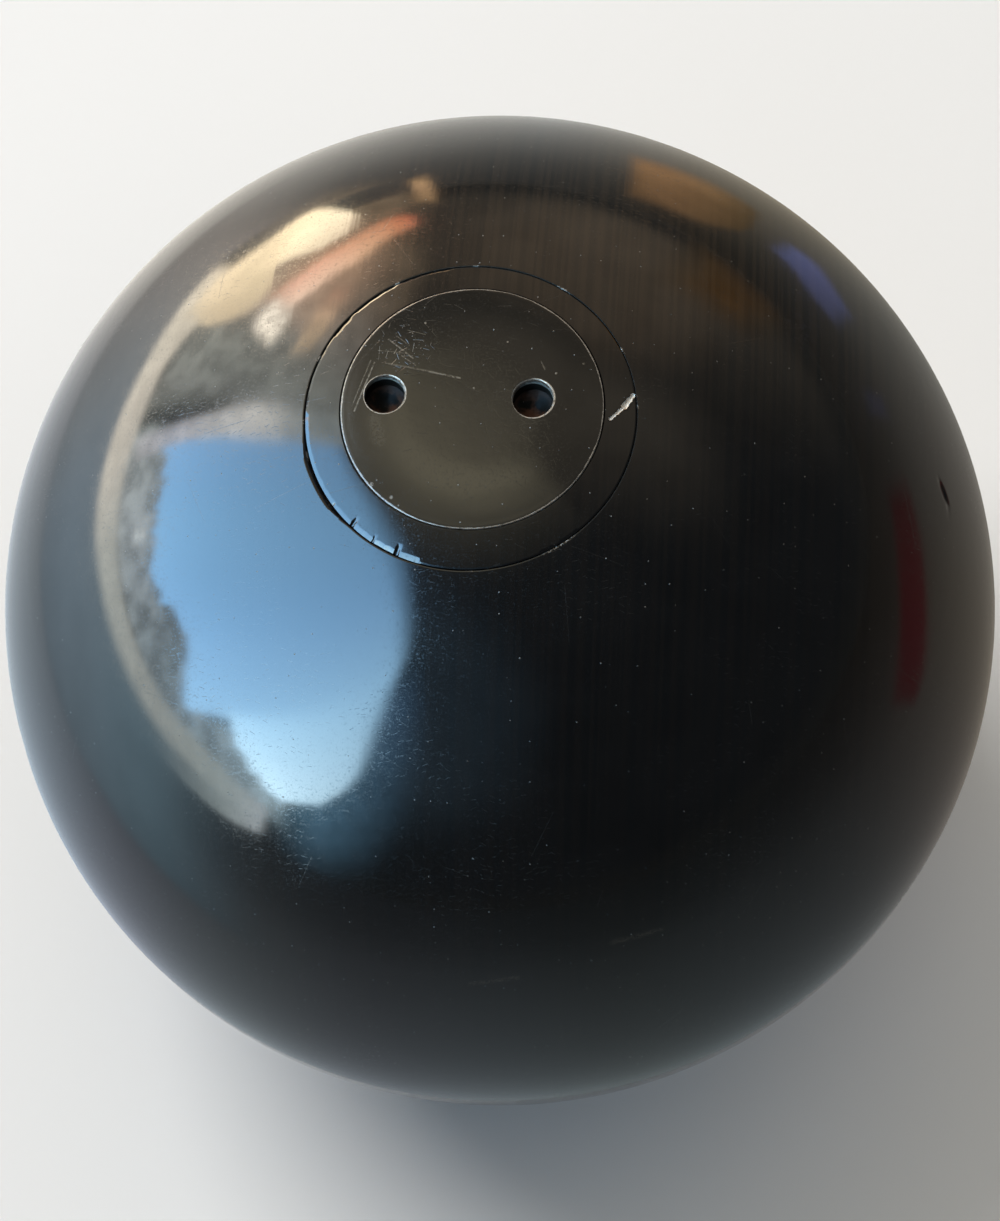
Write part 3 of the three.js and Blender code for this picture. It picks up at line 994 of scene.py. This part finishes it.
def felt_material():
    g = material_graph("pressed_felt")
    place = g.place()
    swirl = g.node("ShaderNodeTexNoise", {"Vector": place, "Scale": 0.8}).outputs["Color"]
    swirl = g.vector("SCALE", swirl, scale=3.0)
    fibres = [
        g.noise(g.vector("ADD", g.vector("MULTIPLY", place, lie), swirl), 0.9, detail=6.0, roughness=0.7)
        for lie in ((1.0, 7.0, 3.0), (7.0, 1.0, 3.0))]
    wool = g.most(*fibres)
    color = g.mix(g.step(wool, 0.45, 0.72), (0.16, 0.135, 0.10), (0.42, 0.37, 0.29))
    color = g.mix(g.step(g.noise(place, 5.0), 0.5, 0.75, 0.0, 0.5), color, (0.10, 0.09, 0.075))
    return g.surface(color, 0.95, g.bump(g.times(wool, 0.35)), Sheen_Weight=0.25)


def lead_material(name, pale, oxide, size):
    g = material_graph(name)
    place = g.place()
    bloom = g.noise(place, size, detail=5.0, roughness=0.65)
    scores = g.noise(g.vector("MULTIPLY", place, (0.15, 1.0, 1.0)), 0.3)
    color = g.mix(g.step(bloom, 0.35, 0.65), oxide, pale)
    height = g.total(g.times(bloom, 0.08), g.times(scores, 0.02))
    roughness, metallic = g.step(bloom, 0.35, 0.65, 0.72, 0.48), g.step(bloom, 0.35, 0.60, 0.45, 0.95)
    return g.surface(color, roughness, g.bump(height), metallic)


# The object


def finished(made, material, body, node):
    """Paints a piece, and puts it in its frame node's place."""
    made.data.materials.clear()
    made.data.materials.append(material)
    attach(made, body)
    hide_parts(node)
    return made


ball_paint = paint(
    "ball_paint", (0.0032, 0.0034, 0.0037), ball_bare, ball_inside, marks=ball_marks, dull=ball_dull,
    lathe_mm=0.0035, scratch_cell=0.8)
collar_paint = paint(
    "collar_paint", (0.0034, 0.0034, 0.0034), collar_bare, collar_inside, bore_rust, lathe_mm=0.0035)
plug_paint = paint(
    "plug_paint", (0.0050, 0.0048, 0.0042), plug_bare, plug_inside, plug_rust, marks=plug_marks,
    pits=plug_pits, dull=plug_dull)
sheet_lead = lead_material("sheet_lead", (0.36, 0.37, 0.39), (0.17, 0.175, 0.19), 2.6)
cast_lead = lead_material("cast_lead", (0.30, 0.31, 0.33), (0.13, 0.135, 0.15), 7.0)

finished(build_shell(), ball_paint, "ball", "shell")
finished(build_collar(), collar_paint, "ball", "collar")
finished(build_plug(), plug_paint, "plug", "plug")
finished(build_seal(), fibre_material(), "seal", "seal_washer")
finished(build_pad(), felt_material(), "ball", "packing_pad")
for number in (1, 2, 3):
    finished(build_trim_disc(number), sheet_lead, "ball", f"trim_disc_{number}")
finished(build_core(), cast_lead, "ball", "lead_core")


# Camera

CAMERA_LENS = 78.93
CAMERA_PLACE = {"azimuth": 11.4, "elevation": 69.2, "distance": 0.33, "roll": -8.64}


def direction(azimuth, elevation):
    """A direction from the ball's centre, in degrees. Azimuth 0 is -Y and 90 is +X."""
    azimuth, elevation = math.radians(azimuth), math.radians(elevation)
    flat = math.cos(elevation)
    return Vector((math.sin(azimuth) * flat, -math.cos(azimuth) * flat, math.sin(elevation)))


def aim(made, azimuth, elevation, distance, roll=0.0):
    """Puts a camera or a lamp at a distance in a direction, looking at the ball's centre."""
    back = direction(azimuth, elevation)
    turn = back.to_track_quat("Z", "Y").to_matrix().to_4x4() @ Matrix.Rotation(math.radians(roll), 4, "Z")
    made.matrix_world = Matrix.Translation(back * distance) @ turn


camera_data = bpy.data.cameras.new("camera")
camera_data.lens = CAMERA_LENS
camera_data.clip_start, camera_data.clip_end = 0.01, 100
camera = placed("camera", camera_data)
aim(camera, **CAMERA_PLACE)
bpy.context.scene.camera = camera


# Floor, light and reflectors

FLOOR_TONE = (0.785, 0.79, 0.80)
FLOOR_R = 30.0
# Lamps, in degrees, metres and watts
KEY = {"azimuth": -130, "elevation": 53, "distance": 1.4, "size": 0.9, "power": 17.5}
FILL = {"azimuth": 60, "elevation": 72, "distance": 1.6, "size": 1.5, "power": 5.0}


def build_floor():
    sides = 96
    turns = [TURN * i / sides for i in range(sides)]
    points = [(FLOOR_R * math.cos(turn), FLOOR_R * math.sin(turn), cad_box[0].z) for turn in turns]
    mesh = bpy.data.meshes.new("floor")
    mesh.from_pydata(points, [], [tuple(range(sides))])
    g = material_graph("floor")
    at = g.node("ShaderNodeTexCoord").outputs["Object"]
    tone = g.mix(g.noise(at, 0.4, detail=3.0), scaled(FLOOR_TONE, 0.985), FLOOR_TONE)
    mesh.materials.append(g.finish(g.node("ShaderNodeBsdfDiffuse", {"Color": tone})))
    placed("floor", mesh)


def build_lamp(name, azimuth, elevation, distance, size, power):
    lamp = bpy.data.lights.new(name, "AREA")
    lamp.shape, lamp.size, lamp.energy = "DISK", size, power
    made = placed(name, lamp)
    aim(made, azimuth, elevation, distance)
    made.visible_camera = made.visible_glossy = False


# Reflector cards, as directions (azimuth, elevation) from the ball along their two long sides. Far is the
# distance in metres, and glow the radiance from one end to the other. Fade and ends are the shares of the
# width and of the length over which a card fades out, and a pair of fades is one for each side. Across
# scales the glow from the first side to the second. Mottled is the share of the glow that patches lose, and
# patch their size as a share of the distance. Uneven roughens the first side, in degrees, and clear is how
# far a card's low parts stay above the floor, in metres.
REFLECTORS = {
    "sky": dict(
        side=((-39, 12), (-53, 14), (-59, 17), (-66, 10), (-76, 17), (-88, 12), (-99, 12), (-104, 14),
              (-114, 9)),
        other=((-33, 16), (-26, 28), (-26, 45), (-27, 60), (-40, 69), (-62, 74), (-88, 72), (-104, 67),
               (-121, 57)),
        glow=((16, 23, 27), (9.5, 16.5, 22.5), (5, 10, 16), (4, 8.3, 13.3), (3.6, 7.2, 12)),
        far=3.0, fade=(0.03, 0.15), ends=0.02, across=((1.2,), (0.76,)), uneven=1.5),
    "sky_haze": dict(
        side=((-45, 6), (-38, 14), (-32, 28), (-31, 45), (-34, 58)),
        other=((-37, -6), (-20, 4), (-12, 25), (-13, 45), (-22, 60)),
        glow=((0.6, 1.2, 1.7), (1.2, 2.8, 4.2), (0.85, 2, 3.2), (0.7, 1.6, 2.9), (0.2, 0.5, 0.8)),
        far=3.2, fade=(0.1, 0.85), ends=0.3, mottled=0.35, patch=0.03),
    "hedge": dict(
        side=((-36, 6), (-55, 6), (-75, 3), (-90, 2), (-105, 0), (-118, -2)),
        other=((-38, 14), (-55, 17), (-66, 14), (-76, 20), (-90, 16), (-104, 16), (-116, 14)),
        glow=((7.5, 10, 11), (5.2, 6.8, 7.6), (4.8, 5.8, 6.2), (6.6, 7.4, 7.6), (6.5, 7.2, 6.8)),
        far=3.3, fade=0.1, ends=0.05, mottled=0.55, patch=0.07),
    "gap_in_hedge": dict(
        side=((-95, 6), (-98, 6), (-101, 9)),
        other=((-95, 10), (-98, 12), (-101, 12)),
        glow=((11, 12, 12), (11, 12, 12)),
        far=2.9, fade=0.3, ends=0.3, mottled=0.4, patch=0.04),
    "pale_rail": dict(
        side=((-40, 5), (-47, 2), (-57, 0), (-75, -3), (-91, -5), (-103, -6), (-120, -6), (-134, -8),
              (-142, -8)),
        other=((-40, 12), (-47, 12), (-56, 12), (-71, 9), (-88, 7), (-102, 6), (-114, 6), (-125, 5),
               (-134, 7), (-142, 6)),
        glow=((9, 10, 10.5), (6.4, 7.4, 7.3), (6, 6.4, 6), (6.6, 6.8, 6.2), (8, 7.4, 6.3), (8, 7.2, 5.8),
              (9, 7.6, 5.6)),
        far=0.6, fade=(0.1, 0.2), ends=0.04, mottled=0.15, patch=0.05),
    "roof_edge": dict(
        side=((-114, -1), (-116, 12), (-119, 22), (-123, 31), (-126, 40), (-127, 50), (-130, 62)),
        other=((-109, 3), (-111, 15), (-112, 26), (-112, 37), (-113, 46), (-116, 56), (-120, 66)),
        glow=((7, 7, 6.9), (9, 9, 9.6), (12, 11.8, 11.4), (14, 13.6, 12.6), (6.5, 6.8, 6.4),
              (4.7, 5.2, 5), (2.2, 2.2, 2.4)),
        far=2.8, fade=0.3, ends=0.06, mottled=0.3, patch=0.06),
    "wall": dict(
        side=((-114, -4), (-130, -6), (-145, -8), (-158, -8), (-170, -2)),
        other=((-119, 70), (-131, 68), (-144, 58), (-156, 46), (-168, 28)),
        glow=((4.2, 4.4, 4.1), (4.2, 4.3, 3.8), (3.4, 3, 2.5), (2.4, 1.8, 1.2), (0.9, 0.7, 0.45)),
        far=3.4, fade=(0.15, 0.25), ends=0.15, mottled=0.4, patch=0.06),
    "brown_wall": dict(
        side=((-131, 8), (-140, 2), (-150, 2), (-162, 2)),
        other=((-135, 38), (-142, 38), (-151, 33), (-163, 24)),
        glow=((5, 4.8, 4.2), (7, 5.2, 3.8), (7, 4.6, 3), (2.5, 1.4, 0.9)),
        far=2.5, fade=0.35, ends=0.35, mottled=0.3, patch=0.08),
    "sunlit_boards": dict(
        side=((-131, 0), (-139, -1), (-147, -1), (-154, -2), (-157, 4), (-158, 10)),
        other=((-131, 5), (-131, 12), (-135, 18), (-140, 17), (-143, 12), (-150, 15), (-158, 13)),
        glow=((9.5, 8.1, 5.9), (11, 8.8, 5.8), (12.5, 10, 6.4), (15.5, 12.4, 7.9), (16, 13.3, 9),
              (13, 10.2, 7)),
        far=0.45, fade=0.16, ends=0.12, mottled=0.15),
    "red_boards": dict(
        side=((-139, 13), (-146, 13), (-150, 12), (-155, 11), (-160, 9), (-163, 9), (-166, 12)),
        other=((-137, 22), (-145, 22), (-150, 21), (-154, 21), (-159, 18), (-163, 16), (-166, 14)),
        glow=((17, 11.5, 8.5), (16, 9.8, 6.8), (14.5, 8.4, 5.4), (12.5, 6.6, 3.8), (10.5, 4, 2),
              (8, 2.1, 1.3)),
        far=1.5, fade=0.25, ends=0.12, across=((0.85, 0.65, 0.6), (1.15, 1.35, 1.4)), mottled=0.15),
    "bright_spot": dict(
        side=((-133, 18), (-137, 14), (-142, 15)),
        other=((-131, 25), (-135, 27), (-142, 22)),
        glow=((22, 19.8, 16), (23, 20.5, 16.6)),
        far=1.4, fade=0.35, ends=0.35, mottled=0.5, patch=0.03),
    "tan_boards": dict(
        side=((-131, 31), (-138, 28), (-144, 25), (-150, 22)),
        other=((-134, 35), (-142, 33), (-147, 30), (-152, 26)),
        glow=((10, 8, 5.6), (11, 8, 5.2), (10.5, 6.8, 4.4), (9, 4.6, 3)),
        far=2.0, fade=0.3, ends=0.2, mottled=0.3),
    "small_tan": dict(
        side=((-165, -3), (-165, 2), (-165, 9)),
        other=((-168, -5), (-169, 4), (-169, 11)),
        glow=((4, 2.5, 1.2), (5.4, 3.3, 1.7), (4.4, 2.7, 1.3)),
        far=0.76, fade=0.4, ends=0.3, mottled=0.3, patch=0.05),
    "low_board": dict(
        side=((-158, -17), (-141, -17), (-120, -17), (-100, -17), (-72, -17), (-50, -17), (-30, -17)),
        other=((-158, 4), (-148, 5), (-136, 6), (-123, 8), (-112, 8), (-100, 8), (-88, 10), (-72, 12),
               (-54, 14), (-36, 16)),
        glow=((0.8, 0.75, 0.7), (1.2, 1.1, 1), (1.2, 1.3, 1.35), (1.1, 1.4, 1.65), (1.1, 1.5, 1.8),
              (0.9, 1.4, 1.7), (0.4, 0.65, 0.8)),
        far=0.2, fade=0.12, ends=0.2, across=((0.5,), (1.6,)), mottled=0.08, patch=0.2),
    "brown_board": dict(
        side=((171, -15), (167, -16), (162, -17), (158, -17), (155, -16)),
        other=((167, 8), (161, 7), (156, 5), (153, -1), (153, -8)),
        glow=((1.35, 0.76, 0.35), (1.3, 0.72, 0.33), (0.95, 0.55, 0.25), (0.5, 0.31, 0.14),
              (0.3, 0.2, 0.09)),
        far=0.26, fade=0.18, ends=0.12, mottled=0.2),
    "blue_board": dict(
        side=((151, -14), (147, -16), (143, -15), (137, -12)),
        other=((150, -4), (145, -3), (140, -1), (134, -2)),
        glow=((0.45, 0.52, 1.0), (0.4, 0.44, 0.85), (0.3, 0.33, 0.55)),
        far=0.24, fade=0.25, ends=0.2),
    "dark_red_board": dict(
        side=((116, -6), (109, -9), (101, -12), (94, -14), (87, -15), (83, -15)),
        other=((112, 2), (104, 1), (96, -1), (89, -4), (83, -7), (80, -9)),
        glow=((0.18, 0.05, 0.05), (0.3, 0.055, 0.06), (0.31, 0.055, 0.065), (0.22, 0.07, 0.07)),
        far=0.28, fade=0.22, ends=0.15),
    "grey_board": dict(
        side=((127, -1), (127, -9)),
        other=((121, 1), (122, -8)),
        glow=((0.2, 0.2, 0.28), (0.22, 0.22, 0.3)),
        far=0.3, fade=0.35, ends=0.35),
    "ground": dict(
        side=((-180, -43), (180, -43)),
        other=((-180, 3), (180, 3)),
        glow=((0.56, 0.56, 0.53), (0.78, 0.75, 0.68), (1, 0.95, 0.86), (0.8, 0.84, 0.88),
              (0.68, 0.78, 0.86), (0.62, 0.74, 0.86), (0.52, 0.58, 0.68), (0.4, 0.46, 0.5),
              (0.32, 0.36, 0.4), (0.29, 0.34, 0.37), (0.23, 0.27, 0.28), (0.2, 0.23, 0.24),
              (0.19, 0.2, 0.2), (0.22, 0.2, 0.18), (0.25, 0.22, 0.18), (0.26, 0.24, 0.21),
              (0.25, 0.24, 0.21), (0.35, 0.31, 0.24), (0.56, 0.56, 0.53)),
        far=0.9, fade=0.02, ends=0,
        across=((1,), (1,), (1.05,), (1.15,), (1.05,), (0.6,), (0.4,)), clear=0.001),
    "warm_patch": dict(
        side=((160, -2), (148, -2), (136, 0)),
        other=((158, 22), (146, 22), (134, 16)),
        glow=((0.5, 0.35, 0.15), (0.85, 0.42, 0.12), (0.3, 0.2, 0.08)),
        far=1.5, fade=0.5, ends=0.5, mottled=0.3),
}


def through(points, count):
    """Evenly spread places on a smooth curve through the points."""
    points = np.array(points, float)
    points = np.vstack([2 * points[0] - points[1], points, 2 * points[-1] - points[-2]])
    made = []
    for at in np.linspace(0, len(points) - 3, count):
        first = min(int(at), len(points) - 4)
        a, b, c, d = points[first:first + 4]
        t = at - first
        square, cube = 2 * a - 5 * b + 4 * c - d, 3 * b - a - 3 * c + d
        made.append(0.5 * (2 * b + (c - a) * t + square * t**2 + cube * t**3))
    return np.array(made)


def build_reflector(
        name, side, other, glow, far, fade, ends, across=((1,), (1,)), uneven=0.0, mottled=0.0, patch=0.12,
        clear=0.003):
    """A glowing strip that only reflections show."""
    long, wide = 96, 41
    side, other, glow = through(side, long), through(other, long), through(glow, long)
    side[:, 1] += uneven * wander(np.arange(long) + 0.0, 1.6, 51)
    first_fade, second_fade = np.broadcast_to(fade, 2)
    lowest = cad_box[0].z + clear
    points, shares, colors = [], [], []
    for t, share in zip(np.linspace(0, 1, wide), through(across, wide)):
        for i, towards in enumerate(side * (1 - t) + other * t):
            point = direction(*towards) * far
            points.append(point * min(1.0, lowest / min(point.z, -1e-6)) if point.z < lowest else point)
            s = i / (long - 1)
            from_ends = (s / ends, (1 - s) / ends) if ends else ()
            shares.append(min(1.0, t / first_fade, (1 - t) / second_fade, *from_ends))
            colors.append((*glow[i] * share, 1.0))
    corners = [row * long + i for row in range(wide - 1) for i in range(long - 1)]
    mesh = bpy.data.meshes.new(name)
    mesh.from_pydata(points, [], [(c, c + 1, c + long + 1, c + long) for c in corners])
    card = placed(name, mesh)
    add_values(card, "share", shares)
    add_values(card, "glow", colors, "FLOAT_COLOR", "color")
    g = material_graph(name)
    at = g.vector("SCALE", g.node("ShaderNodeTexCoord").outputs["Object"], scale=1 / far)
    patches = g.step(g.noise(at, patch, detail=4.0, roughness=0.65), 0.40, 0.62, 1 - mottled, 1.0)
    light = g.node("ShaderNodeEmission", {"Color": g.attribute("glow", "Color"), "Strength": patches})
    empty = g.node("ShaderNodeBsdfTransparent")
    shown = g.step(g.attribute("share"), 0.0, 1.0)
    mesh.materials.append(g.finish(
        g.node("ShaderNodeMixShader", {0: shown, 1: empty.outputs[0], 2: light.outputs[0]})))
    card.visible_camera = card.visible_diffuse = card.visible_shadow = card.visible_transmission = False


# The room's own glow, as layers that add up: dim all round, then brownish high up and on the far side. Spot
# glows have a centre (azimuth, elevation), and the cosines of the angles from it where they start and where
# they are full: one is warm and on the far side, the other bluish and in front. Canopy glows are olive and
# overhead, with a middle and a reach in the x and y of a direction, and both end at one soft slanted edge.
HORIZON_GLOW = (0.10, 0.105, 0.10)
ROOM_GLOW = (0.065, 0.075, 0.085)
HIGH_GLOW = (0.50, 0.41, 0.29)
FAR_SIDE_GLOW = (0.26, 0.21, 0.14)
SPOT_GLOWS = (((0.48, 0.33, 0.20), 166, 26, 0.87, 0.99), ((0.11, 0.21, 0.30), -20, 44, 0.84, 0.985))
CANOPY_GLOWS = (
    ((1.17, 1.05, 0.72), (-0.11, 0.30), 0.62),
    ((0.66, 0.60, 0.38), (-0.09, 0.36), 0.28),
)


def build_world():
    world = bpy.data.worlds.new("room")
    bpy.context.scene.world = world
    g = Graph(world, "ShaderNodeOutputWorld")
    towards = g.node("ShaderNodeTexCoord").outputs["Generated"]
    x, y, z = g.split(towards)
    high = g.times(g.step(z, 0.5, 0.8), g.step(y, -0.1, 0.5), g.fall(y, 0.45, 0.66))
    layers = [(high, HIGH_GLOW), (g.step(y, 0.25, 0.85), FAR_SIDE_GLOW)]
    for glow, azimuth, elevation, start, full in SPOT_GLOWS:
        nearness = g.vector("DOT_PRODUCT", towards, direction(azimuth, elevation))
        layers.append((g.step(nearness, start, full), glow))
    flat = g.flat(towards)
    canopy = g.times(g.fall(g.math("MULTIPLY_ADD", x, 0.9, y), 0.30, 0.37), g.step(z, 0.3, 0.6))
    for glow, middle, reach in CANOPY_GLOWS:
        layers.append((g.times(canopy, g.fall(g.distance(flat, middle), 0.0, reach)), glow))
    room = ROOM_GLOW
    for share, glow in layers:
        room = g.vector("ADD", room, g.vector("SCALE", glow, scale=share))
    room = g.vector("SCALE", room, scale=g.step(g.noise(towards, 0.14, detail=3.0), 0.35, 0.65, 0.88, 1.1))
    color = g.mix(g.step(z, 0.01, 0.12), HORIZON_GLOW, room)
    g.finish(g.node("ShaderNodeBackground", {"Color": color, "Strength": 1.0}))


build_floor()
build_lamp("key", **KEY)
build_lamp("fill", **FILL)
for name, form in REFLECTORS.items():
    build_reflector(name, **form)
build_world()
bpy.context.scene.view_settings.view_transform = "Standard"
